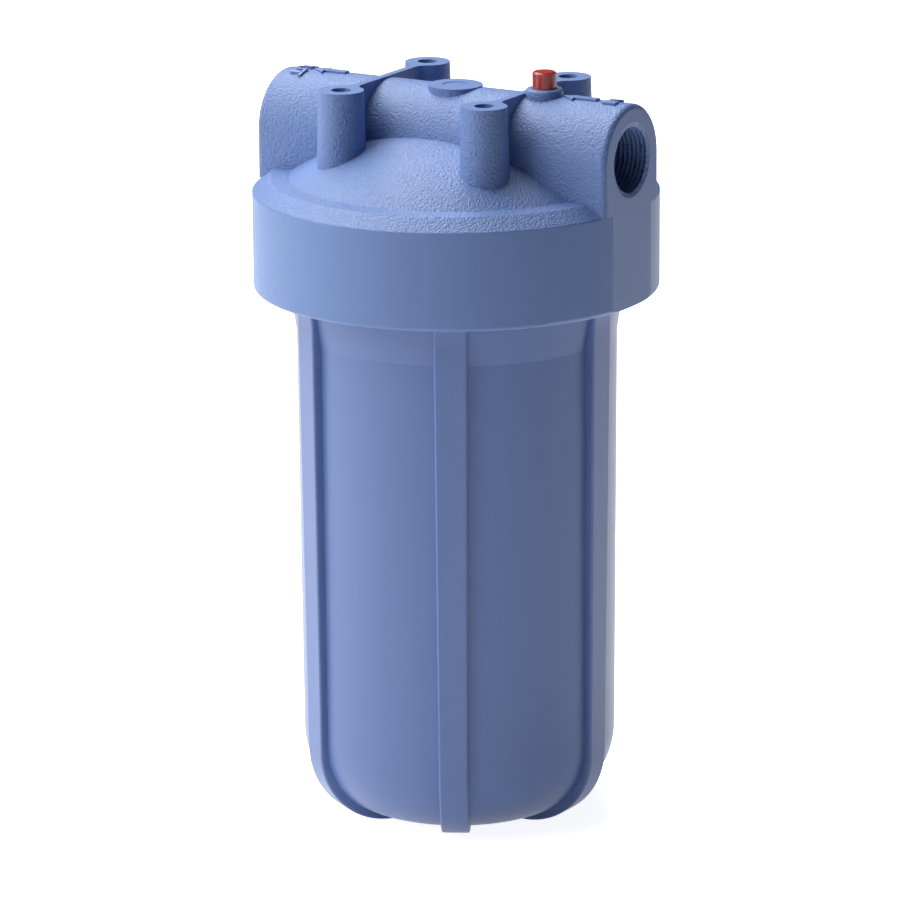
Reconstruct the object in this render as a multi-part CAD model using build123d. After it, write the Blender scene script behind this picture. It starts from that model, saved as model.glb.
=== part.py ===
from build123d import *
import math
import os

# Filter housing for a large 10 inch cartridge: a cap with two pipe ports that screws onto a sump.
# Millimetres, +Z up. The origin is on the floor under the middle of the sump.
# The ports lie along X: the inlet is at +X and the outlet at -X.

# Sump
SUMP_R = 73.0  # body radius under the flare
SUMP_BASE_R = 71.9  # body radius where the base rounding starts
SUMP_WALL = 5.6
SUMP_BASE_Z = 2.2  # underside of the base, above the feet
SUMP_BASE_ROUND = 38.0
SUMP_FLOOR = 7.0
FLARE_Z = 228.0  # where the wall starts to widen towards the neck
FLARE_R = 76.0  # body radius level with the cap's lower rim
NECK_ROOT_R = 82.6  # neck radius between the thread turns
NECK_BORE_R = 68.0
NECK_START_Z = 254.5
SUMP_TOP_Z = 286.2

# Ribs that run down the sump and under it as feet
RIB_COUNT = 6
RIB_PHASE = -61.85  # direction of the first rib, degrees from +X
RIB_R = 77.05  # where the rib starts to flare
RIB_FLARE_Z = 237.0
RIB_TOP_R = 81.1  # where the rib runs into the neck
RIB_BASE_R = 75.0
RIB_HALF_WIDTH = 7.5
RIB_FOOT_HALF_WIDTH = 6.4
RIB_ROUND = 37.5
RIB_EDGE = 1.0
FOOT_INNER_R = 28.0

# Screw thread between the neck and the cap
THREAD_PITCH = 8.0
THREAD_TURNS = 2.25
THREAD_START_Z = 259.5
THREAD_HEIGHT = 2.8
THREAD_ROOT_WIDTH = 3.6
THREAD_CREST_WIDTH = 2.2
THREAD_TIP_CLEARANCE = 0.6
THREAD_SINK = 0.4  # how far a turn's root is buried in its wall

# Main seal, in a groove in the sump's top
SEAL_R = 75.5
SEAL_SECTION_R = 2.5
SEAL_CLEARANCE = 0.3
SEAL_FACE_GAP = 0.3  # between the sump's top and the cap's sealing face

# Cap
CAP_R = 92.2
CAP_RIM_Z = 248.2
CAP_RIM_ROUND = 2.0  # more than the gap from the wall to a port face
SHOULDER_Z = 292.9  # crease where the skirt meets the sloping band
SHOULDER_ROUND = 0.8
LEDGE_R = 84.5  # where the sloping band meets the flat ledge
LEDGE_Z = 298.4
LEDGE_ROUND = 1.8
DOME_EDGE_R = 75.5  # inner edge of the ledge, where the dome starts
DOME_SPHERE_R = 133.0
DOME_TOP_Z = 322.2
DOME_WALL = 6.0
CAP_CHAMBER_R = 70.0
PORT_FACE_X = 90.5

# Port channel across the cap
CHANNEL_R = 25.0
CHANNEL_AXIS_Z = 315.0
CHANNEL_END_ROUND = 2.5
CHANNEL_FLOOR = 1.5  # least material between the channel and the sealing face
PORT_BORE_R = 14.85  # crest of the 1 inch pipe thread
PORT_MOUTH_R = 16.9
PORT_MOUTH_DEPTH = 0.9
PORT_BORE_LENGTH = 24.0
PORT_THREAD_PITCH = 25.4 / 11.5
PORT_THREAD_GROOVES = 7  # the bore beyond them is plain
PORT_THREAD_DEPTH = 1.5
PORT_THREAD_LAND = 0.35
WATERWAY_R = 12.5
INLET_END_X = 22.0
OUTLET_END_X = 12.5
INLET_DROP_R = 10.0

# Mounting bosses on the cap, joined in pairs by webs
BOSS_X = 37.0
BOSS_Y = 38.0
BOSS_RISE = 1.0  # flat tops over the channel's crest
BOSS_R = 10.3
BOSS_DRAFT = 1.6  # degrees
BOSS_FOOT_Z = 303.0
BOSS_HOLE_R = 4.5
BOSS_HOLE_DEPTH = 22.0
WEB_WIDTH = 3.6
WEB_CORNER_R = 6.0

# Round pad in the middle of the channel
PAD_R = 12.4
PAD_RISE = 0.5
PAD_DISH_R = 6.0
PAD_DISH_DEPTH = 0.3

# Pressure relief valve, over the inlet
RELIEF_X = 46.0
RELIEF_BOSS_R = 8.5
RELIEF_BOSS_RISE = 3.2
RELIEF_BOSS_ROUND = 1.2
BUTTON_R = 5.4
BUTTON_RISE = 7.6  # over the relief boss
BUTTON_HEAD_LENGTH = 11.6
BUTTON_EDGE = 0.7
BUTTON_CLEARANCE = 0.3
BUTTON_WELL_DEPTH = 9.0
STEM_R = 2.0
STEM_CLEARANCE = 0.06
STEM_END_RISE = 7.0  # over the channel's axis
VALVE_SEAT_R = 5.5
VALVE_SEAT_DEPTH = 0.5
VALVE_RING_SECTION_R = 0.9
VALVE_RING_FIT = 0.05
WASHER_R = 4.3
WASHER_THICKNESS = 0.9
CLIP_R = 3.5
CLIP_THICKNESS = 0.7
CLIP_GROOVE_DEPTH = 0.4
CLIP_GAP = 2.4
STACK_GAP = 0.05
SPRING_WIRE_R = 0.35
SPRING_MEAN_R = 4.2
SPRING_TURNS = 3.5

# Cartridge
CARTRIDGE_R = 57.15
CARTRIDGE_LENGTH = 250.0
CARTRIDGE_SEAT_Z = 23.0
CARTRIDGE_BORE_R = 13.6
GASKET_R = 21.0
GASKET_THICKNESS = 3.0
END_CAP_DISC = 3.0
END_CAP_RIM_HEIGHT = 9.0
END_CAP_RIM_WALL = 2.0
CORE_R = 19.0
CORE_WALL = 2.2
CORE_HOLE_R = 3.0
CORE_HOLE_ROWS = 15
CORE_HOLES_ROUND = 6
PLEAT_COUNT = 54
PLEAT_GAP = 0.5
PLEAT_THICKNESS = 1.1
PLEAT_TIP_DEPTH = 9.9  # outer tip to inner tip of one fold of the sheet
SPIGOT_CLEARANCE = 0.5
SPIGOT_LENGTH = 9.0
SPIGOT_BORE_R = 9.5
SEAT_GAP = 0.2  # between the top gasket and the cap's seat
POST_RIB_WIDTH = 4.0

BOTTOM = (Align.CENTER, Align.CENTER, Align.MIN)

# Places that follow from the sizes above
seal_face_z = SUMP_TOP_Z + SEAL_FACE_GAP
dome_centre_z = DOME_TOP_Z - DOME_SPHERE_R
cap_thread_root_r = NECK_ROOT_R + THREAD_HEIGHT + THREAD_TIP_CLEARANCE
cartridge_top_z = CARTRIDGE_SEAT_Z + CARTRIDGE_LENGTH
cap_seat_z = cartridge_top_z + SEAT_GAP
end_cap_low_z = CARTRIDGE_SEAT_Z + GASKET_THICKNESS
end_cap_high_z = cartridge_top_z - GASKET_THICKNESS
media_low_z = end_cap_low_z + END_CAP_DISC
media_high_z = end_cap_high_z - END_CAP_DISC
spigot_r = CARTRIDGE_BORE_R - SPIGOT_CLEARANCE
channel_crest_z = CHANNEL_AXIS_Z + CHANNEL_R
boss_top_z = channel_crest_z + BOSS_RISE
pad_top_z = channel_crest_z + PAD_RISE
relief_boss_top_z = channel_crest_z + RELIEF_BOSS_RISE
button_top_z = relief_boss_top_z + BUTTON_RISE
stem_end_z = CHANNEL_AXIS_Z + STEM_END_RISE
valve_seat_z = CHANNEL_AXIS_Z + WATERWAY_R + VALVE_SEAT_DEPTH
button_well_z = relief_boss_top_z - BUTTON_WELL_DEPTH
button_low_z = button_top_z - BUTTON_HEAD_LENGTH
valve_ring_z = valve_seat_z - SEAL_CLEARANCE - VALVE_RING_SECTION_R
washer_top_z = valve_ring_z - VALVE_RING_SECTION_R - STACK_GAP
clip_top_z = washer_top_z - WASHER_THICKNESS - STACK_GAP


def rod(radius, z_low, z_high, x=0.0, y=0.0):
    """A round bar along Z."""
    return Pos(x, y, z_low) * Cylinder(radius, z_high - z_low, align=BOTTOM)


def ring(outer_r, inner_r, z_low, z_high, x=0.0, y=0.0):
    """A round tube along Z."""
    return rod(outer_r, z_low, z_high, x, y) - rod(inner_r, z_low, z_high, x, y)


def rod_x(radius, x_low, x_high, z):
    """A round bar along X, on the plane of the ports."""
    return Pos(x_low, 0, z) * Rot(0, 90, 0) * Cylinder(radius, x_high - x_low, align=BOTTOM)


def turned(outline):
    """The solid that an outline in the XZ plane sweeps round the Z axis."""
    return revolve(make_face(Plane.XZ * outline), Axis.Z)


def circle_z(radius, centre_z, sphere_r):
    """Height of a dome's surface at a radius."""
    return centre_z + math.sqrt(sphere_r**2 - radius**2)


def dome_curve(edge_r, sphere_r):
    """The dome's outline from its edge to its top, as an arc."""
    middle_r = edge_r / 2
    return ThreePointArc(
        (edge_r, circle_z(edge_r, dome_centre_z, sphere_r)),
        (middle_r, circle_z(middle_r, dome_centre_z, sphere_r)),
        (0, dome_centre_z + sphere_r),
    )


def helical_turn(root_r, start_z, outward):
    """One thread ridge wound on a wall, outward from a neck or inward from a skirt."""
    side = 1 if outward else -1
    path = Helix(THREAD_PITCH, THREAD_PITCH * THREAD_TURNS, root_r, center=(0, 0, start_z))
    section = Polygon(
        (-side * THREAD_SINK, -THREAD_ROOT_WIDTH / 2),
        (side * THREAD_HEIGHT, -THREAD_CREST_WIDTH / 2),
        (side * THREAD_HEIGHT, THREAD_CREST_WIDTH / 2),
        (-side * THREAD_SINK, THREAD_ROOT_WIDTH / 2),
        align=None,
    )
    start = Plane(origin=path @ 0, x_dir=(1, 0, 0), z_dir=path % 0)
    return sweep(start * section, path=path, is_frenet=True)


def sump_shell():
    """The pot: a drafted wall, a rounded base, a flare and the neck."""
    base_flat_r = SUMP_BASE_R - SUMP_BASE_ROUND
    round_z = SUMP_BASE_Z + SUMP_BASE_ROUND
    diagonal = SUMP_BASE_ROUND * math.sin(math.radians(45))
    outline = Polyline((0, SUMP_BASE_Z), (base_flat_r, SUMP_BASE_Z))
    outline += ThreePointArc(
        (base_flat_r, SUMP_BASE_Z),
        (base_flat_r + diagonal, round_z - diagonal),
        (SUMP_BASE_R, round_z),
    )
    outline += Polyline(
        (SUMP_BASE_R, round_z),
        (SUMP_R, FLARE_Z),
        (FLARE_R, CAP_RIM_Z),
        (NECK_ROOT_R, NECK_START_Z),
        (NECK_ROOT_R, SUMP_TOP_Z),
        (0, SUMP_TOP_Z),
        (0, SUMP_BASE_Z),
    )
    return turned(outline)


def sump_cavity():
    """The space inside the pot, one wall in from the outside."""
    floor_z = SUMP_BASE_Z + SUMP_FLOOR
    inner_round = SUMP_BASE_ROUND - SUMP_WALL
    low_r = SUMP_BASE_R - SUMP_WALL
    diagonal = inner_round * math.sin(math.radians(45))
    outline = Polyline((0, floor_z), (low_r - inner_round, floor_z))
    outline += ThreePointArc(
        (low_r - inner_round, floor_z),
        (low_r - inner_round + diagonal, floor_z + inner_round - diagonal),
        (low_r, floor_z + inner_round),
    )
    outline += Polyline(
        (low_r, floor_z + inner_round),
        (SUMP_R - SUMP_WALL, FLARE_Z),
        (NECK_BORE_R, NECK_START_Z),
        (NECK_BORE_R, SUMP_TOP_Z + 1),
        (0, SUMP_TOP_Z + 1),
        (0, floor_z),
    )
    return turned(outline)


def sump_rib():
    """One rib along +X: down the wall, round the corner and in under the base."""
    diagonal = RIB_ROUND * math.sin(math.radians(45))
    core_r = SUMP_BASE_R - SUMP_BASE_ROUND
    buried_r = SUMP_R - SUMP_WALL / 2
    outline = Polyline((FOOT_INNER_R, SUMP_BASE_Z + 1), (FOOT_INNER_R, 0), (RIB_BASE_R - RIB_ROUND, 0))
    outline += ThreePointArc(
        (RIB_BASE_R - RIB_ROUND, 0),
        (RIB_BASE_R - RIB_ROUND + diagonal, RIB_ROUND - diagonal),
        (RIB_BASE_R, RIB_ROUND),
    )
    outline += Line((RIB_BASE_R, RIB_ROUND), (RIB_R, RIB_FLARE_Z))
    outline += ThreePointArc(
        (RIB_R, RIB_FLARE_Z),
        (RIB_R + (RIB_TOP_R - RIB_R) / 4, (RIB_FLARE_Z + NECK_START_Z) / 2),
        (RIB_TOP_R, NECK_START_Z),
    )
    inner = SUMP_BASE_ROUND - SUMP_WALL / 2
    inner_diagonal = inner * math.sin(math.radians(45))
    inner_z = SUMP_BASE_Z + SUMP_BASE_ROUND
    outline += Polyline(
        (RIB_TOP_R, NECK_START_Z),
        (buried_r, NECK_START_Z),
        (SUMP_BASE_R - SUMP_WALL / 2, inner_z),
    )
    outline += ThreePointArc(
        (SUMP_BASE_R - SUMP_WALL / 2, inner_z),
        (core_r + inner_diagonal, inner_z - inner_diagonal),
        (core_r, inner_z - inner),
    )
    outline += Line((core_r, inner_z - inner), (FOOT_INNER_R, SUMP_BASE_Z + 1))
    plate = extrude(make_face(Plane.XZ * outline), RIB_HALF_WIDTH, both=True)
    taper = Polygon(
        (-RIB_FOOT_HALF_WIDTH, 0),
        (RIB_FOOT_HALF_WIDTH, 0),
        (RIB_HALF_WIDTH, NECK_START_Z),
        (-RIB_HALF_WIDTH, NECK_START_Z),
        align=None,
    )
    rib = plate & extrude(Plane.YZ * taper, RIB_TOP_R + 1)
    return fillet([edge for edge in rib.edges() if is_outer_edge(edge)], RIB_EDGE)


def is_outer_edge(edge):
    """Whether an edge of a rib runs along a side of its outer face."""
    middle = edge.center()
    if abs(middle.Y) < RIB_FOOT_HALF_WIDTH / 2:
        return False
    if middle.Z > RIB_ROUND:
        return middle.X > RIB_BASE_R - RIB_EDGE
    round_centre_x = RIB_BASE_R - RIB_ROUND
    return math.hypot(middle.X - round_centre_x, middle.Z - RIB_ROUND) > RIB_ROUND - RIB_EDGE


def cartridge_post():
    """Cross ribs on the sump's floor with the spigot that centres the cartridge."""
    floor_z = SUMP_BASE_Z + SUMP_FLOOR - 1
    post = rod(spigot_r, floor_z, CARTRIDGE_SEAT_Z + SPIGOT_LENGTH)
    post += ring(GASKET_R, spigot_r - 1, floor_z, CARTRIDGE_SEAT_Z)
    reach = SUMP_BASE_R - SUMP_WALL - SUMP_BASE_ROUND / 2
    height = CARTRIDGE_SEAT_Z - GASKET_THICKNESS - floor_z
    for step in range(RIB_COUNT // 2):
        turn = Rot(0, 0, RIB_PHASE + step * 360 / RIB_COUNT)
        post += turn * (Pos(0, 0, floor_z) * Box(2 * reach, POST_RIB_WIDTH, height, align=BOTTOM))
    post -= rod(SPIGOT_BORE_R, floor_z + 1, CARTRIDGE_SEAT_Z + SPIGOT_LENGTH)
    return post


def make_sump():
    """Moulded pot with its ribs, floor post, seal groove and thread."""
    body = sump_shell()
    rib = sump_rib()
    for index in range(RIB_COUNT):
        body += Rot(0, 0, RIB_PHASE + index * 360 / RIB_COUNT) * rib
    body -= sump_cavity()
    body += cartridge_post()
    groove_half = SEAL_SECTION_R + SEAL_CLEARANCE
    groove_z = seal_face_z - 2 * groove_half
    body -= ring(SEAL_R + groove_half, SEAL_R - groove_half, groove_z, SUMP_TOP_Z + 1)
    body += helical_turn(NECK_ROOT_R, THREAD_START_Z, True)
    return body


def make_main_seal():
    """The large O-ring between the sump and the cap."""
    centre_z = seal_face_z - SEAL_CLEARANCE - SEAL_SECTION_R
    return Pos(0, 0, centre_z) * Torus(SEAL_R, SEAL_SECTION_R)


def cap_dome():
    """Skirt, sloping band, ledge and dome, with the flats that the ports open through."""
    outline = Polyline(
        (0, DOME_TOP_Z),
        (0, CAP_RIM_Z),
        (CAP_R, CAP_RIM_Z),
        (CAP_R, SHOULDER_Z),
        (LEDGE_R, LEDGE_Z),
        (DOME_EDGE_R, circle_z(DOME_EDGE_R, dome_centre_z, DOME_SPHERE_R)),
    )
    outline += dome_curve(DOME_EDGE_R, DOME_SPHERE_R)
    section = make_face(outline)
    rim = [corner for corner in section.vertices() if corner.X > CAP_R - 1 and corner.Y < CAP_RIM_Z + 1]
    section = fillet(rim, CAP_RIM_ROUND)
    shoulder = [corner for corner in section.vertices() if corner.X > CAP_R - 1 and corner.Y > SHOULDER_Z - 1]
    section = fillet(shoulder, SHOULDER_ROUND)
    ledge = [corner for corner in section.vertices() if abs(corner.X - LEDGE_R) < 0.01]
    section = fillet(ledge, LEDGE_ROUND)
    dome = revolve(Plane.XZ * section, Axis.Z)
    return dome & Pos(0, 0, CAP_RIM_Z) * Box(2 * PORT_FACE_X, 3 * CAP_R, 2 * CAP_R, align=BOTTOM)


def cap_cavity():
    """The threaded mouth, the sealing face and the chamber under the dome."""
    inner_r = DOME_SPHERE_R - DOME_WALL
    outline = Polyline(
        (0, dome_centre_z + inner_r),
        (0, CAP_RIM_Z - 1),
        (cap_thread_root_r, CAP_RIM_Z - 1),
        (cap_thread_root_r, seal_face_z),
        (CAP_CHAMBER_R, seal_face_z),
        (CAP_CHAMBER_R, circle_z(CAP_CHAMBER_R, dome_centre_z, inner_r)),
    )
    outline += dome_curve(CAP_CHAMBER_R, inner_r)
    return turned(outline)


def port_channel():
    """The arched bar across the cap that holds both waterways."""
    half_height = CHANNEL_AXIS_Z - SHOULDER_Z
    depth = CHANNEL_AXIS_Z - seal_face_z - CHANNEL_FLOOR
    arch = Pos(0, -half_height / 2) * Rectangle(2 * CHANNEL_R, half_height) + Circle(CHANNEL_R)
    arch &= Pos(0, CHANNEL_R - depth / 2) * Rectangle(4 * CHANNEL_R, 2 * CHANNEL_R + depth)
    front = Plane(origin=(-PORT_FACE_X, 0, CHANNEL_AXIS_Z), x_dir=(0, 1, 0), z_dir=(1, 0, 0))
    bar = extrude(front * arch, 2 * PORT_FACE_X)
    end_edges = [
        edge
        for edge in bar.edges()
        if abs(abs(edge.center().X) - PORT_FACE_X) < 0.01 and edge.center().Z > SHOULDER_Z + 1
    ]
    return fillet(end_edges, CHANNEL_END_ROUND)


def boss_pair(x):
    """A front and a rear mounting boss with the web between them."""
    plan = Rectangle(WEB_WIDTH, 2 * BOSS_Y)
    for side in (-1, 1):
        plan += Pos(0, side * BOSS_Y) * Circle(BOSS_R)
    corners = [corner for corner in plan.vertices() if abs(abs(corner.X) - WEB_WIDTH / 2) < 0.01]
    plan = fillet(corners, WEB_CORNER_R)
    return extrude(Pos(x, 0, boss_top_z) * plan, BOSS_FOOT_Z - boss_top_z, taper=-BOSS_DRAFT)


def relief_boss():
    """The low round boss that the relief button stands in."""
    boss = rod(RELIEF_BOSS_R, CHANNEL_AXIS_Z, relief_boss_top_z, RELIEF_X)
    return fillet(boss.edges().sort_by(Axis.Z)[-1], RELIEF_BOSS_ROUND)


def pipe_thread(side):
    """A port's tapping: the bore, its chamfered mouth and the thread's grooves near the mouth."""
    face = side * PORT_FACE_X
    end = face - side * PORT_BORE_LENGTH
    cut = rod_x(PORT_BORE_R, min(face, end), max(face, end), CHANNEL_AXIS_Z)
    mouth = Polygon(
        (0, 0),
        (PORT_MOUTH_R, 0),
        (PORT_BORE_R, -PORT_MOUTH_DEPTH),
        (0, -PORT_MOUTH_DEPTH),
        align=None,
    )
    turn = Pos(face, 0, CHANNEL_AXIS_Z) * Rot(0, side * 90, 0)
    cut += turn * revolve(Plane.XZ * mouth, Axis.Z)
    half = (PORT_THREAD_PITCH - PORT_THREAD_LAND) / 2
    for index in range(PORT_THREAD_GROOVES):
        middle = -PORT_MOUTH_DEPTH - (index + 0.5) * PORT_THREAD_PITCH
        groove = Polygon(
            (PORT_BORE_R - 1, middle - half),
            (PORT_BORE_R, middle - half),
            (PORT_BORE_R + PORT_THREAD_DEPTH, middle - PORT_THREAD_LAND / 2),
            (PORT_BORE_R + PORT_THREAD_DEPTH, middle + PORT_THREAD_LAND / 2),
            (PORT_BORE_R, middle + half),
            (PORT_BORE_R - 1, middle + half),
            align=None,
        )
        cut += turn * revolve(Plane.XZ * groove, Axis.Z)
    return cut


def waterways():
    """Inlet to the space round the cartridge, and outlet from the cartridge's core."""
    inlet = rod_x(WATERWAY_R, INLET_END_X, PORT_FACE_X - PORT_BORE_LENGTH + 1, CHANNEL_AXIS_Z)
    inlet += rod(INLET_DROP_R, seal_face_z, CHANNEL_AXIS_Z, RELIEF_X)
    outlet = rod_x(WATERWAY_R, PORT_BORE_LENGTH - PORT_FACE_X - 1, OUTLET_END_X, CHANNEL_AXIS_Z)
    outlet += rod(SPIGOT_BORE_R, cap_seat_z - SPIGOT_LENGTH - 1, CHANNEL_AXIS_Z)
    return inlet + outlet


def relief_cuts():
    """The button's well, the stem's hole and the flat seat under it."""
    well = rod(BUTTON_R + BUTTON_CLEARANCE, button_well_z, relief_boss_top_z + 1, RELIEF_X)
    well += rod(STEM_R + STEM_CLEARANCE, CHANNEL_AXIS_Z, relief_boss_top_z, RELIEF_X)
    return well + rod(VALVE_SEAT_R, CHANNEL_AXIS_Z, valve_seat_z, RELIEF_X)


def make_cap():
    """Moulded cap: dome and skirt, port channel, bosses, pad, seat and thread."""
    cap = cap_dome() - cap_cavity()
    cap += port_channel()
    cap += rod(GASKET_R, cap_seat_z, CHANNEL_AXIS_Z)
    cap += rod(spigot_r, cap_seat_z - SPIGOT_LENGTH, CHANNEL_AXIS_Z)
    for side in (-1, 1):
        cap += boss_pair(side * BOSS_X)
    cap += rod(PAD_R, CHANNEL_AXIS_Z, pad_top_z) + relief_boss()
    for side in (-1, 1):
        cap -= pipe_thread(side)
        for x in (-BOSS_X, BOSS_X):
            cap -= rod(BOSS_HOLE_R, boss_top_z - BOSS_HOLE_DEPTH, boss_top_z + 1, x, side * BOSS_Y)
    cap -= waterways()
    cap -= relief_cuts()
    cap -= rod(PAD_DISH_R, pad_top_z - PAD_DISH_DEPTH, pad_top_z + 1)
    cap += helical_turn(cap_thread_root_r, THREAD_START_Z - THREAD_PITCH / 2, False)
    return cap


def make_button():
    """Red relief button with its stem and the groove for its clip."""
    head = rod(BUTTON_R, button_low_z, button_top_z, RELIEF_X)
    head = chamfer(head.edges().sort_by(Axis.Z)[-1], BUTTON_EDGE)
    button = head + rod(STEM_R, stem_end_z, button_low_z, RELIEF_X)
    groove_r = STEM_R - CLIP_GROOVE_DEPTH
    groove_low_z = clip_top_z - CLIP_THICKNESS - STACK_GAP
    return button - ring(STEM_R + 1, groove_r, groove_low_z, clip_top_z + STACK_GAP, RELIEF_X)


def make_valve_ring():
    """Small O-ring that closes the relief seat."""
    ring_r = STEM_R + VALVE_RING_FIT + VALVE_RING_SECTION_R
    return Pos(RELIEF_X, 0, valve_ring_z) * Torus(ring_r, VALVE_RING_SECTION_R)


def make_washer():
    """Washer that backs the small O-ring."""
    return ring(WASHER_R, STEM_R + VALVE_RING_FIT, washer_top_z - WASHER_THICKNESS, washer_top_z, RELIEF_X)


def make_clip():
    """Open spring clip in the stem's groove."""
    inner_r = STEM_R - CLIP_GROOVE_DEPTH + VALVE_RING_FIT
    low_z = clip_top_z - CLIP_THICKNESS
    clip = ring(CLIP_R, inner_r, low_z, clip_top_z, RELIEF_X)
    mouth = Box(CLIP_R + 1, CLIP_GAP, CLIP_THICKNESS, align=(Align.MIN, Align.CENTER, Align.MIN))
    return clip - Pos(RELIEF_X, 0, low_z) * mouth


def make_spring():
    """Coil spring that lifts the button off the floor of its well."""
    room = button_low_z - button_well_z - 2 * (SPRING_WIRE_R + STACK_GAP)
    start_z = button_well_z + SPRING_WIRE_R + STACK_GAP
    path = Helix(room / SPRING_TURNS, room, SPRING_MEAN_R, center=(0, 0, start_z))
    start = Plane(origin=path @ 0, x_dir=(1, 0, 0), z_dir=path % 0)
    return Pos(RELIEF_X, 0, 0) * sweep(start * Circle(SPRING_WIRE_R), path=path, is_frenet=True)


def make_core():
    """Perforated tube that carries the media from inside."""
    core = ring(CORE_R, CORE_R - CORE_WALL, media_low_z, media_high_z)
    spacing = (media_high_z - media_low_z - 2 * END_CAP_RIM_HEIGHT) / CORE_HOLE_ROWS
    drills = []
    for row in range(CORE_HOLE_ROWS):
        z = media_low_z + END_CAP_RIM_HEIGHT + (row + 0.5) * spacing
        for index in range(CORE_HOLES_ROUND // 2):
            angle = (index + 0.5 * (row % 2)) * 360 / CORE_HOLES_ROUND
            drills.append(Rot(0, 0, angle) * rod_x(CORE_HOLE_R, -CORE_R - 1, CORE_R + 1, z))
    return core - drills


def pleat_outline(inner_r, outer_r):
    """A closed star of folds between two radii."""
    points = []
    for index in range(2 * PLEAT_COUNT):
        radius = outer_r if index % 2 == 0 else inner_r
        angle = math.pi * index / PLEAT_COUNT
        points.append((radius * math.cos(angle), radius * math.sin(angle)))
    return Polygon(*points, align=None)


def make_pleats():
    """The folded media, one closed sheet round the core."""
    outer_r = CARTRIDGE_R - END_CAP_RIM_WALL - PLEAT_GAP
    inner_r = CORE_R + PLEAT_GAP + PLEAT_THICKNESS
    inner_sheet = pleat_outline(inner_r - PLEAT_THICKNESS, outer_r - PLEAT_TIP_DEPTH)
    sheet = pleat_outline(inner_r, outer_r) - inner_sheet
    return Pos(0, 0, media_low_z) * extrude(sheet, media_high_z - media_low_z)


def make_end_cap(z_face, direction):
    """Cup that the ends of the media and the core sit in, up or down from its outer face."""
    bore_r = CARTRIDGE_BORE_R
    disc_z = z_face + direction * END_CAP_DISC
    rim_z = z_face + direction * END_CAP_RIM_HEIGHT
    cup = ring(CARTRIDGE_R, bore_r, min(z_face, disc_z), max(z_face, disc_z))
    return cup + ring(CARTRIDGE_R, CARTRIDGE_R - END_CAP_RIM_WALL, min(z_face, rim_z), max(z_face, rim_z))


def make_gasket(z_low):
    """Flat ring between an end cap and its seat."""
    return ring(GASKET_R, CARTRIDGE_BORE_R, z_low, z_low + GASKET_THICKNESS)


def write_parts():
    """Write each sub-part to its own STEP file."""
    nodes = {
        "sump": make_sump(),
        "main_o_ring": make_main_seal(),
        "filter_cap": make_cap(),
        "relief_button": make_button(),
        "relief_spring": make_spring(),
        "relief_o_ring": make_valve_ring(),
        "relief_washer": make_washer(),
        "relief_clip": make_clip(),
        "cartridge_core": make_core(),
        "cartridge_pleats": make_pleats(),
        "cartridge_bottom_end_cap": make_end_cap(end_cap_low_z, 1),
        "cartridge_top_end_cap": make_end_cap(end_cap_high_z, -1),
        "cartridge_bottom_gasket": make_gasket(CARTRIDGE_SEAT_Z),
        "cartridge_top_gasket": make_gasket(end_cap_high_z),
    }
    os.makedirs("parts", exist_ok=True)
    for name, shape in nodes.items():
        export_step(shape, f"parts/{name}.step")


write_parts()
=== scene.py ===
import math

import bmesh
import bpy
from mathutils import Matrix, Vector


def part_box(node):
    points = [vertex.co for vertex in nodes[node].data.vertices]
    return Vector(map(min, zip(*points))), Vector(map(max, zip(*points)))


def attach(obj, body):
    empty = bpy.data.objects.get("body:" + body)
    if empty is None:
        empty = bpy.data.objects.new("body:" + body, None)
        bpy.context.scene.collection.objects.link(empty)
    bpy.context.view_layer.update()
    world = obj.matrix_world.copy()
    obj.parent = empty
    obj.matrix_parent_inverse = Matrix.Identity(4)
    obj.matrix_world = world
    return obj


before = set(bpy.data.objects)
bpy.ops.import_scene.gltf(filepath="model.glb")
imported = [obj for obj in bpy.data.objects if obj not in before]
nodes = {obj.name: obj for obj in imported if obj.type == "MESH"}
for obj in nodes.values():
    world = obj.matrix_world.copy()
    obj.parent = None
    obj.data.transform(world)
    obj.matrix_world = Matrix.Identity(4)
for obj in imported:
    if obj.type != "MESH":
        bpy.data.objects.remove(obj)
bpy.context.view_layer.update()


# Cap. One injection moulding in glass-filled polypropylene: skirt, dome, port channel and bosses.
# Its mould is eroded to a fine pebble over the top, and polished on the skirt, the port faces
# and the seats of the bosses. It screws down on the sump.
CAP_LOW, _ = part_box("filter_cap")
SHOULDER_Z = CAP_LOW.z + 0.0447  # the pebble starts above the skirt's upper edge
SEAT_Z = 0.3401  # flat seats of the bosses lie above this height
FACE_CUTOFF, FACE_BLUR = 0.97, 0.02  # a face counts as square to an axis above this cosine
PEBBLE = 0.0009  # width of one pebble of the eroded mould
PEBBLE_DEPTH = 0.00040
FINE_GRAIN = 0.0004  # the fine tooth that all of the moulding has, drawn coarse enough to show
FINE_DEPTH = 0.00004
FLOW_WIDTH = 0.006  # width of a flow mark on the polished skirt
CAP_BLUE = "6580BA"
CAP_BLUE_DEEP = "5E79B2"


def linear(code):
    """An sRGB hex colour as linear red, green, blue and alpha."""
    values = [int(code[i:i + 2], 16) / 255 for i in (0, 2, 4)]
    return [v / 12.92 if v <= 0.04045 else ((v + 0.055) / 1.055) ** 2.4 for v in values] + [1.0]


def add(tree, kind, inputs=None, **settings):
    """Add a node with its settings; an input is a value or another node's output."""
    node = tree.nodes.new(kind)
    for name, value in settings.items():
        setattr(node, name, value)
    for name, value in (inputs or {}).items():
        if isinstance(value, bpy.types.NodeSocket):
            tree.links.new(value, node.inputs[name])
        else:
            node.inputs[name].default_value = value
    return node


def new_material(name, **shader_values):
    """A material with one Principled shader, its tree and the shader."""
    material = bpy.data.materials.new(name)
    material.use_nodes = True
    tree = material.node_tree
    shader = tree.nodes["Principled BSDF"]
    for socket, value in shader_values.items():
        shader.inputs[socket.replace("_", " ")].default_value = value
    return material, tree, shader


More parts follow.
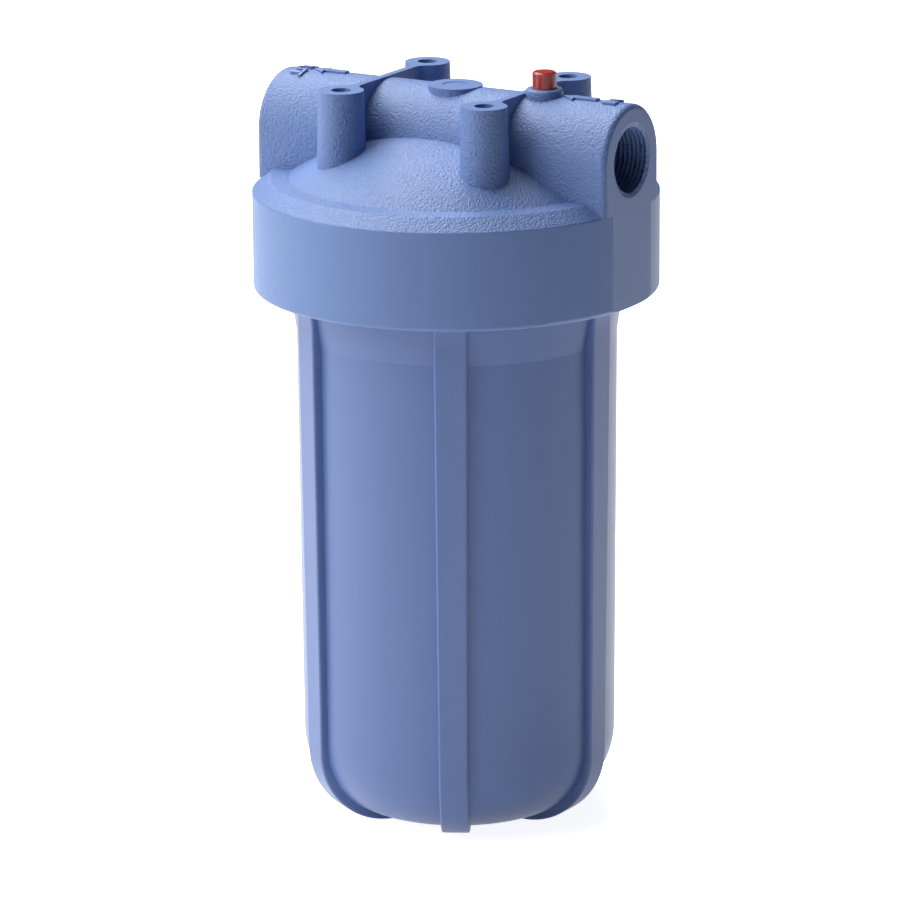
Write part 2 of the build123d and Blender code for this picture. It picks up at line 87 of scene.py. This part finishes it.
def object_place(tree, stretch=(1, 1, 1)):
    """Coordinates in metres that stay with the piece, stretched along some axes."""
    coordinates = add(tree, "ShaderNodeTexCoord").outputs["Object"]
    mapping = add(tree, "ShaderNodeMapping", {"Vector": coordinates, "Scale": stretch})
    return coordinates, mapping.outputs["Vector"]


def polypropylene_pebbled(name):
    """Moulded polypropylene: a soft satin sheen, broken into glints where the mould was eroded, with painted light
    on the pebble crowns and painted shade in the hollows between them.
    """
    material, tree, shader = new_material(name, Roughness=0.46, IOR=1.49, Specular_IOR_Level=0.45)
    place, flow_place = object_place(tree, (1, 1, 0.12))
    where = add(tree, "ShaderNodeSeparateXYZ", {"Vector": place})
    facing = add(tree, "ShaderNodeSeparateXYZ", {"Vector": add(tree, "ShaderNodeTexCoord").outputs["Normal"]})
    sideways = add(tree, "ShaderNodeMath", {0: facing.outputs["X"]}, operation="ABSOLUTE")
    steps = []
    for value, edge, blur, below, above in (
        (where.outputs["Z"], SHOULDER_Z, 0.0008, 0, 1),
        (sideways.outputs["Value"], FACE_CUTOFF, FACE_BLUR, 1, 0),
        (where.outputs["Z"], SEAT_Z, 0.0001, 0, 1),
        (facing.outputs["Z"], FACE_CUTOFF, FACE_BLUR, 0, -1),
    ):
        change = add(tree, "ShaderNodeMapRange", {"Value": value, "From Min": edge - blur, "From Max": edge + blur,
                                                  "To Min": below, "To Max": above},
                     interpolation_type="SMOOTHSTEP")
        steps.append(change.outputs["Result"])
    above_skirt, off_port_face, at_seat_height, facing_up = steps
    off_seat = add(tree, "ShaderNodeMath", {0: at_seat_height, 1: facing_up, 2: 1.0}, operation="MULTIPLY_ADD")
    pebbled = add(tree, "ShaderNodeMath", {0: above_skirt, 1: off_port_face}, operation="MULTIPLY")
    pebbled = add(tree, "ShaderNodeMath", {0: pebbled.outputs["Value"], 1: off_seat.outputs["Value"]},
                  operation="MULTIPLY").outputs["Value"]

    cells = add(tree, "ShaderNodeTexVoronoi", {"Vector": place, "Scale": 1 / PEBBLE, "Randomness": 1.0},
                feature="SMOOTH_F1")
    drift = add(tree, "ShaderNodeTexNoise", {"Vector": place, "Scale": 0.6 / PEBBLE, "Detail": 3.0})
    grain = add(tree, "ShaderNodeMath", {0: cells.outputs["Distance"], 1: drift.outputs["Fac"]}, operation="ADD")
    flow = add(tree, "ShaderNodeTexNoise", {"Vector": flow_place, "Scale": 1 / FLOW_WIDTH, "Detail": 4.0})
    fine = add(tree, "ShaderNodeTexNoise", {"Vector": place, "Scale": 1 / FINE_GRAIN, "Detail": 2.0})

    tone = add(tree, "ShaderNodeMix", {0: flow.outputs["Fac"], 6: linear(CAP_BLUE_DEEP), 7: linear(CAP_BLUE)},
               data_type="RGBA")
    # Painted light and shade on the pebble: the base colour is up to 4% lighter on the raised pebble crowns and up
    # to 4% darker in the hollows between them, following the bump's grain.
    shade = add(tree, "ShaderNodeMapRange", {"Value": grain.outputs["Value"], "From Min": 0.5, "From Max": 1.3,
                                             "To Min": 1.04, "To Max": 0.96})
    painted_pebble_light_and_shade = add(tree, "ShaderNodeHueSaturation", {"Color": tone.outputs[2], "Value": shade.outputs["Result"],
                                                 "Fac": pebbled})
    tree.links.new(painted_pebble_light_and_shade.outputs["Color"], shader.inputs["Base Color"])

    pebble_bump = add(tree, "ShaderNodeBump", {"Height": grain.outputs["Value"], "Strength": pebbled,
                                               "Distance": PEBBLE_DEPTH}, invert=True)
    fine_bump = add(tree, "ShaderNodeBump", {"Height": fine.outputs["Fac"], "Strength": 0.25, "Distance": FINE_DEPTH,
                                             "Normal": pebble_bump.outputs["Normal"]})
    tree.links.new(fine_bump.outputs["Normal"], shader.inputs["Normal"])
    rough = add(tree, "ShaderNodeMapRange", {"Value": flow.outputs["Fac"], "To Min": 0.40, "To Max": 0.54})
    tree.links.new(rough.outputs["Result"], shader.inputs["Roughness"])
    return material


def finish_node(name, material, angle=32):
    """Give a CAD node its material, and smooth shading up to an angle."""
    piece = nodes[name]
    piece.data.materials.clear()
    piece.data.materials.append(material)
    bpy.context.view_layer.objects.active = piece
    for other in bpy.context.selected_objects:
        other.select_set(False)
    piece.select_set(True)
    bpy.ops.object.shade_smooth_by_angle(angle=math.radians(angle))
    return piece


finish_node("filter_cap", polypropylene_pebbled("polypropylene_cap_pebbled"))


# Flow marks. The words and arrows that show which port is which stand up from the channel's
# crest. They are part of the same moulding, cut into the mould, so they are the cap's blue,
# with flat smooth faces. Each word reads from its own end of the channel.
MARK_HEIGHT = 0.0011
MARK_SINK = 0.0008
MARK_BEVEL = 0.00018
LETTER_SIZE = 0.0088
LETTER_BOLDER = 0.0003
CHANNEL_R = 0.0250
CHANNEL_Z = 0.3150
ARROW_LENGTH = 0.0175
ARROW_HEAD = 0.0066
ARROW_HALF_HEAD = 0.0044
ARROW_HALF_SHAFT = 0.0019
INLET_ARROW_X = 0.0646
INLET_WORD_X = 0.0812
OUTLET_ARROW_X = -0.0657
OUTLET_WORD_X = -0.0800


def moulded_smooth(name):
    """The same polypropylene where the mould was left bright, with a slightly tighter sheen."""
    material, tree, shader = new_material(name, Roughness=0.42, IOR=1.49, Specular_IOR_Level=0.45)
    place, _ = object_place(tree)
    fine = add(tree, "ShaderNodeTexNoise", {"Vector": place, "Scale": 1 / FINE_GRAIN, "Detail": 2.0})
    tone = add(tree, "ShaderNodeMix", {0: fine.outputs["Fac"], 6: linear(CAP_BLUE_DEEP), 7: linear(CAP_BLUE)},
               data_type="RGBA")
    tree.links.new(tone.outputs[2], shader.inputs["Base Color"])
    bump = add(tree, "ShaderNodeBump", {"Height": fine.outputs["Fac"], "Strength": 0.2, "Distance": FINE_DEPTH})
    tree.links.new(bump.outputs["Normal"], shader.inputs["Normal"])
    return material


def mesh_from(name, build):
    """A new mesh object from a function that fills a bmesh."""
    mesh = bpy.data.meshes.new(name)
    shape = bmesh.new()
    build(shape)
    shape.to_mesh(mesh)
    shape.free()
    piece = bpy.data.objects.new(name, mesh)
    bpy.context.scene.collection.objects.link(piece)
    return piece


def raise_plate(shape, outline):
    """A flat plate with the outline, from below the crest to the mark's height."""
    low = [shape.verts.new((x, y, -MARK_SINK)) for x, y in outline]
    high = [shape.verts.new((x, y, MARK_HEIGHT)) for x, y in outline]
    shape.faces.new(list(reversed(low)))
    shape.faces.new(high)
    for i in range(len(outline)):
        j = (i + 1) % len(outline)
        shape.faces.new((low[i], low[j], high[j], high[i]))


def bend_over_channel(piece, centre_x, right, up):
    """Turn a flat mark to its direction and wrap it over the channel's round crest."""
    for vertex in piece.data.vertices:
        flat = vertex.co.x * Vector(right) + vertex.co.y * Vector(up)
        angle = flat.y / CHANNEL_R
        radius = CHANNEL_R + vertex.co.z
        vertex.co = (centre_x + flat.x, radius * math.sin(angle), CHANNEL_Z + radius * math.cos(angle))


def finish_mark(piece):
    """Round a mark's edges a little and put it on the cap."""
    bevel = piece.modifiers.new("edge", "BEVEL")
    bevel.width = MARK_BEVEL
    bevel.segments = 2
    bevel.limit_method = "ANGLE"
    piece.data.materials.append(mark_plastic)
    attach(piece, "cap_body")


def flow_arrow(name, centre_x):
    """An arrow that points along -X, the way the water runs."""
    half, neck = ARROW_LENGTH / 2, ARROW_LENGTH / 2 - ARROW_HEAD
    outline = [(half, 0), (neck, ARROW_HALF_HEAD), (neck, ARROW_HALF_SHAFT), (-half, ARROW_HALF_SHAFT),
               (-half, -ARROW_HALF_SHAFT), (neck, -ARROW_HALF_SHAFT), (neck, -ARROW_HALF_HEAD)]
    piece = mesh_from(name, lambda shape: raise_plate(shape, [(x, y) for x, y in reversed(outline)]))
    bend_over_channel(piece, centre_x, (-1, 0, 0), (0, -1, 0))
    finish_mark(piece)


def flow_word(name, text, centre_x, right, up):
    """A raised word, read along the right direction."""
    letters = bpy.data.curves.new(name, "FONT")
    letters.body = text
    letters.size = LETTER_SIZE
    letters.align_x = "CENTER"
    letters.align_y = "CENTER"
    letters.offset = LETTER_BOLDER
    letters.extrude = (MARK_HEIGHT + MARK_SINK) / 2
    letters.resolution_u = 6
    holder = bpy.data.objects.new(name + "_outline", letters)
    bpy.context.scene.collection.objects.link(holder)
    bpy.context.view_layer.update()
    mesh = bpy.data.meshes.new_from_object(holder.evaluated_get(bpy.context.evaluated_depsgraph_get()))
    bpy.data.objects.remove(holder)
    shape = bmesh.new()
    shape.from_mesh(mesh)
    bmesh.ops.translate(shape, verts=shape.verts, vec=(0, 0, (MARK_HEIGHT - MARK_SINK) / 2))
    bmesh.ops.remove_doubles(shape, verts=shape.verts, dist=1e-6)
    shape.to_mesh(mesh)
    shape.free()
    piece = bpy.data.objects.new(name, mesh)
    bpy.context.scene.collection.objects.link(piece)
    bend_over_channel(piece, centre_x, right, up)
    finish_mark(piece)


mark_plastic = moulded_smooth("polypropylene_bright_mould")
flow_arrow("inlet_arrow", INLET_ARROW_X)
flow_arrow("outlet_arrow", OUTLET_ARROW_X)
flow_word("inlet_word", "IN", INLET_WORD_X, (0, 1, 0), (-1, 0, 0))
flow_word("outlet_word", "OUT", OUTLET_WORD_X, (0, -1, 0), (1, 0, 0))


# Sump. A deep polypropylene pot, moulded in one shot with its ribs, which double as wrench
# grips and feet. The wall comes from a polished core, so it is smoother than the cap, with
# faint upright flow marks. It hangs or stands under the cap on a coarse thread.
SATIN_GRAIN = 1 / 1500
SATIN_DEPTH = 0.00005
SUMP_BLUE = "6079B3"
SUMP_BLUE_DEEP = "5972AB"
STREAK_WIDTH = 0.010


def polypropylene_satin(name):
    """Smooth moulded polypropylene: a soft, wide highlight and faint upright streaks."""
    material, tree, shader = new_material(name, Roughness=0.4, IOR=1.49, Specular_IOR_Level=0.45)
    place, streak_place = object_place(tree, (1, 1, 0.06))
    streak = add(tree, "ShaderNodeTexNoise", {"Vector": streak_place, "Scale": 1 / STREAK_WIDTH, "Detail": 5.0})
    fine = add(tree, "ShaderNodeTexNoise", {"Vector": place, "Scale": 1 / SATIN_GRAIN, "Detail": 3.0})
    tone = add(tree, "ShaderNodeMix", {0: streak.outputs["Fac"], 6: linear(SUMP_BLUE_DEEP), 7: linear(SUMP_BLUE)},
               data_type="RGBA")
    tree.links.new(tone.outputs[2], shader.inputs["Base Color"])
    rough = add(tree, "ShaderNodeMapRange", {"Value": streak.outputs["Fac"], "To Min": 0.34, "To Max": 0.46})
    tree.links.new(rough.outputs["Result"], shader.inputs["Roughness"])
    bump = add(tree, "ShaderNodeBump", {"Height": fine.outputs["Fac"], "Strength": 0.2, "Distance": SATIN_DEPTH})
    tree.links.new(bump.outputs["Normal"], shader.inputs["Normal"])
    return material


finish_node("sump", polypropylene_satin("polypropylene_sump_satin"))


# Relief button. A small push button in red acetal, turned glossy by its polished mould. It
# stands in a well on the inlet side of the cap, and a spring holds it up.
BUTTON_RED = "A8322F"
BUTTON_RED_DEEP = "9C2B29"


def acetal_gloss(name):
    """Glossy moulded acetal: an even colour with a sharp highlight."""
    material, tree, shader = new_material(name, Roughness=0.24, IOR=1.48, Coat_Weight=0.15, Coat_Roughness=0.1)
    place, _ = object_place(tree)
    cloud = add(tree, "ShaderNodeTexNoise", {"Vector": place, "Scale": 400.0, "Detail": 3.0})
    tone = add(tree, "ShaderNodeMix", {0: cloud.outputs["Fac"], 6: linear(BUTTON_RED_DEEP), 7: linear(BUTTON_RED)},
               data_type="RGBA")
    tree.links.new(tone.outputs[2], shader.inputs["Base Color"])
    rough = add(tree, "ShaderNodeMapRange", {"Value": cloud.outputs["Fac"], "To Min": 0.2, "To Max": 0.3})
    tree.links.new(rough.outputs["Result"], shader.inputs["Roughness"])
    return material


finish_node("relief_button", acetal_gloss("acetal_red_gloss"), 25)


# Relief valve. Under the button a stainless spring, washer and clip and a small nitrile ring
# are threaded on its stem, and they close the vent until the button is pressed.
WIRE_MARK = 0.0004  # spacing of the drawing and stamping marks


def stainless_steel(name, tint, roughness):
    """Drawn or stamped stainless steel: bright, with fine lines from the tool."""
    material, tree, shader = new_material(name, Metallic=1.0, Roughness=roughness)
    _, place = object_place(tree, (1, 1, 6))
    lines = add(tree, "ShaderNodeTexNoise", {"Vector": place, "Scale": 1 / WIRE_MARK, "Detail": 2.0})
    tone = add(tree, "ShaderNodeMix", {0: lines.outputs["Fac"], 6: linear("9A9C9E"), 7: linear(tint)},
               data_type="RGBA")
    tree.links.new(tone.outputs[2], shader.inputs["Base Color"])
    rough = add(tree, "ShaderNodeMapRange", {"Value": lines.outputs["Fac"], "To Min": roughness - 0.08,
                                             "To Max": roughness + 0.08})
    tree.links.new(rough.outputs["Result"], shader.inputs["Roughness"])
    return material


def nitrile_rubber(name):
    """Moulded nitrile rubber: near black and dull, with a trace of grease."""
    material, tree, shader = new_material(name, Roughness=0.55, IOR=1.52)
    place, _ = object_place(tree)
    bloom = add(tree, "ShaderNodeTexNoise", {"Vector": place, "Scale": 600.0, "Detail": 4.0})
    tone = add(tree, "ShaderNodeMix", {0: bloom.outputs["Fac"], 6: linear("141416"), 7: linear("242427")},
               data_type="RGBA")
    tree.links.new(tone.outputs[2], shader.inputs["Base Color"])
    rough = add(tree, "ShaderNodeMapRange", {"Value": bloom.outputs["Fac"], "To Min": 0.42, "To Max": 0.66})
    tree.links.new(rough.outputs["Result"], shader.inputs["Roughness"])
    return material


spring_wire = stainless_steel("stainless_drawn_wire", "C4C6C8", 0.28)
nitrile = nitrile_rubber("nitrile_moulded")
finish_node("relief_spring", spring_wire)
finish_node("relief_clip", spring_wire)
finish_node("relief_washer", stainless_steel("stainless_stamped", "BFC1C3", 0.34))
finish_node("relief_o_ring", nitrile)


# Main seal. A large nitrile ring that lies in the groove in the sump's top, greased, and is
# squeezed against the cap's sealing face.
finish_node("main_o_ring", nitrile)


# Cartridge. Pleated polyester felt round a perforated polypropylene core, with both ends cast
# into blue vinyl cups, and a flat nitrile gasket on each end.
FIBRE = 0.0005  # felt fibres, drawn coarse enough to show
CUP_BLUE = "3A5796"


def polyester_felt(name):
    """Spun polyester felt: matt white with a faint fibrous tooth."""
    material, tree, shader = new_material(name, Roughness=0.9, IOR=1.5, Sheen_Weight=0.2)
    place, _ = object_place(tree)
    fibres = add(tree, "ShaderNodeTexNoise", {"Vector": place, "Scale": 1 / FIBRE, "Detail": 6.0, "Distortion": 1.5})
    tone = add(tree, "ShaderNodeMix", {0: fibres.outputs["Fac"], 6: linear("DCDCD6"), 7: linear("F2F2EE")},
               data_type="RGBA")
    tree.links.new(tone.outputs[2], shader.inputs["Base Color"])
    bump = add(tree, "ShaderNodeBump", {"Height": fibres.outputs["Fac"], "Strength": 0.4, "Distance": 0.0002})
    tree.links.new(bump.outputs["Normal"], shader.inputs["Normal"])
    return material


def cast_vinyl(name, light, deep, roughness):
    """Cast vinyl or moulded core plastic: soft sheen, slightly clouded colour."""
    material, tree, shader = new_material(name, Roughness=roughness, IOR=1.5)
    place, _ = object_place(tree)
    cloud = add(tree, "ShaderNodeTexNoise", {"Vector": place, "Scale": 120.0, "Detail": 4.0})
    tone = add(tree, "ShaderNodeMix", {0: cloud.outputs["Fac"], 6: linear(deep), 7: linear(light)},
               data_type="RGBA")
    tree.links.new(tone.outputs[2], shader.inputs["Base Color"])
    return material


finish_node("cartridge_pleats", polyester_felt("polyester_felt_pleated"), 20)
finish_node("cartridge_core", cast_vinyl("polypropylene_core_natural", "E4E6E8", "D4D7DA", 0.45))
vinyl = cast_vinyl("vinyl_cast_blue", CUP_BLUE, "33508C", 0.5)
for end in ("top", "bottom"):
    finish_node(f"cartridge_{end}_end_cap", vinyl)
    finish_node(f"cartridge_{end}_gasket", nitrile)


# Studio. A pale sweep of painted board, a large soft box high on the left as the key, a weak
# one on the right and an even dim surround. The left of the housing is bright, its right in shade.
FLOOR_SIZE = 12.0
LAMPS = {  # right, front and up from the housing's middle in the view's directions, size and watts
    "key": (-1.55, 0.35, 0.95, 2.0, 36.0),
    "top": (-0.5, -0.6, 1.5, 1.6, 46.0),
    "fill": (1.6, 1.2, 0.4, 1.2, 0.3),
}
HOUSING_MIDDLE = Vector((0, 0, 0.19))
FLOOR_GLOW = 0.88
SURROUND = 0.07
LAMP_TINT = (1.0, 0.975, 0.91)  # the lamps are a touch warmer than the surround
VIEW_AZIMUTH, VIEW_ELEVATION = math.radians(30.41), math.radians(14.89)
VIEW_DISTANCE = 2.477
VIEW_CENTRE = Vector((0, 0, 0.1866))
AIM_RIGHT, AIM_UP = -0.00354, -0.01605  # where the picture's middle lies from that centre
CAMERA_ROLL = math.radians(-0.40)
SENSOR = 36.0
FOCAL_LENGTH = 216.67

to_camera = Vector((math.sin(VIEW_AZIMUTH) * math.cos(VIEW_ELEVATION),
                    -math.cos(VIEW_AZIMUTH) * math.cos(VIEW_ELEVATION), math.sin(VIEW_ELEVATION)))
view_right = Vector((math.cos(VIEW_AZIMUTH), math.sin(VIEW_AZIMUTH), 0))
view_up = to_camera.cross(view_right)
view_front = Vector((math.sin(VIEW_AZIMUTH), -math.cos(VIEW_AZIMUTH), 0))


def studio_board(name):
    """Matt painted board that shows white to the lens and still takes the housing's shadow."""
    material = bpy.data.materials.new(name)
    material.use_nodes = True
    tree = material.node_tree
    tree.nodes.clear()
    place = add(tree, "ShaderNodeTexCoord").outputs["Object"]
    tooth = add(tree, "ShaderNodeTexNoise", {"Vector": place, "Scale": 300.0, "Detail": 2.0})
    tone = add(tree, "ShaderNodeMix", {0: tooth.outputs["Fac"], 6: linear("F4F4F4"), 7: linear("F8F8F8")},
               data_type="RGBA")
    board = add(tree, "ShaderNodeBsdfDiffuse", {"Color": tone.outputs[2]})
    path = add(tree, "ShaderNodeLightPath")
    seen = add(tree, "ShaderNodeMath", {0: path.outputs["Is Camera Ray"], 1: path.outputs["Is Glossy Ray"]},
               operation="ADD")
    seen = add(tree, "ShaderNodeMath", {0: seen.outputs["Value"], 1: path.outputs["Is Transmission Ray"]},
               operation="ADD")
    strength = add(tree, "ShaderNodeMath", {0: seen.outputs["Value"], 1: FLOOR_GLOW}, operation="MULTIPLY")
    glow = add(tree, "ShaderNodeEmission", {"Strength": strength.outputs["Value"]})
    both = add(tree, "ShaderNodeAddShader", {0: board.outputs["BSDF"], 1: glow.outputs["Emission"]})
    add(tree, "ShaderNodeOutputMaterial", {"Surface": both.outputs["Shader"]})
    return material


def soft_box(name, place, size, power):
    """A square soft box that faces the housing's middle."""
    lamp = bpy.data.lights.new(name, "AREA")
    lamp.size = size
    lamp.energy = power
    lamp.color = LAMP_TINT
    holder = bpy.data.objects.new(name, lamp)
    holder.location = place
    holder.rotation_euler = (HOUSING_MIDDLE - place).to_track_quat("-Z", "Y").to_euler()
    bpy.context.scene.collection.objects.link(holder)


def square(shape):
    """A flat sheet on the ground, centred under the housing."""
    half = FLOOR_SIZE / 2
    corners = ((-half, -half), (half, -half), (half, half), (-half, half))
    shape.faces.new([shape.verts.new((x, y, 0)) for x, y in corners])


floor = mesh_from("studio_floor", square)
floor.data.materials.append(studio_board("painted_board"))

for lamp_name, (right, front, up, size, power) in LAMPS.items():
    offset = right * view_right + front * view_front + Vector((0, 0, up))
    soft_box(lamp_name, HOUSING_MIDDLE + offset, size, power)

world = bpy.data.worlds.new("studio")
world.use_nodes = True
world_tree = world.node_tree
world_tree.nodes.clear()
light_path = add(world_tree, "ShaderNodeLightPath")
shown = add(world_tree, "ShaderNodeMath", {0: light_path.outputs["Is Camera Ray"],
                                           1: light_path.outputs["Is Transmission Ray"]}, operation="ADD")
dim = add(world_tree, "ShaderNodeBackground", {"Color": linear("F2F4F8"), "Strength": SURROUND})
white = add(world_tree, "ShaderNodeBackground", {"Color": (1, 1, 1, 1), "Strength": 1.0})
surround = add(world_tree, "ShaderNodeMixShader", {0: shown.outputs["Value"], 1: dim.outputs["Background"],
                                                   2: white.outputs["Background"]})
add(world_tree, "ShaderNodeOutputWorld", {"Surface": surround.outputs["Shader"]})
bpy.context.scene.world = world

lens = bpy.data.cameras.new("camera")
lens.sensor_width = SENSOR
lens.lens = FOCAL_LENGTH
camera = bpy.data.objects.new("camera", lens)
camera.location = VIEW_CENTRE + VIEW_DISTANCE * to_camera
aim = VIEW_CENTRE + AIM_RIGHT * view_right + AIM_UP * view_up
turn = (aim - camera.location).to_track_quat("-Z", "Y").to_matrix() @ Matrix.Rotation(CAMERA_ROLL, 3, "Z")
camera.rotation_euler = turn.to_euler()
bpy.context.scene.collection.objects.link(camera)
bpy.context.scene.camera = camera
bpy.context.scene.view_settings.view_transform = "Standard"
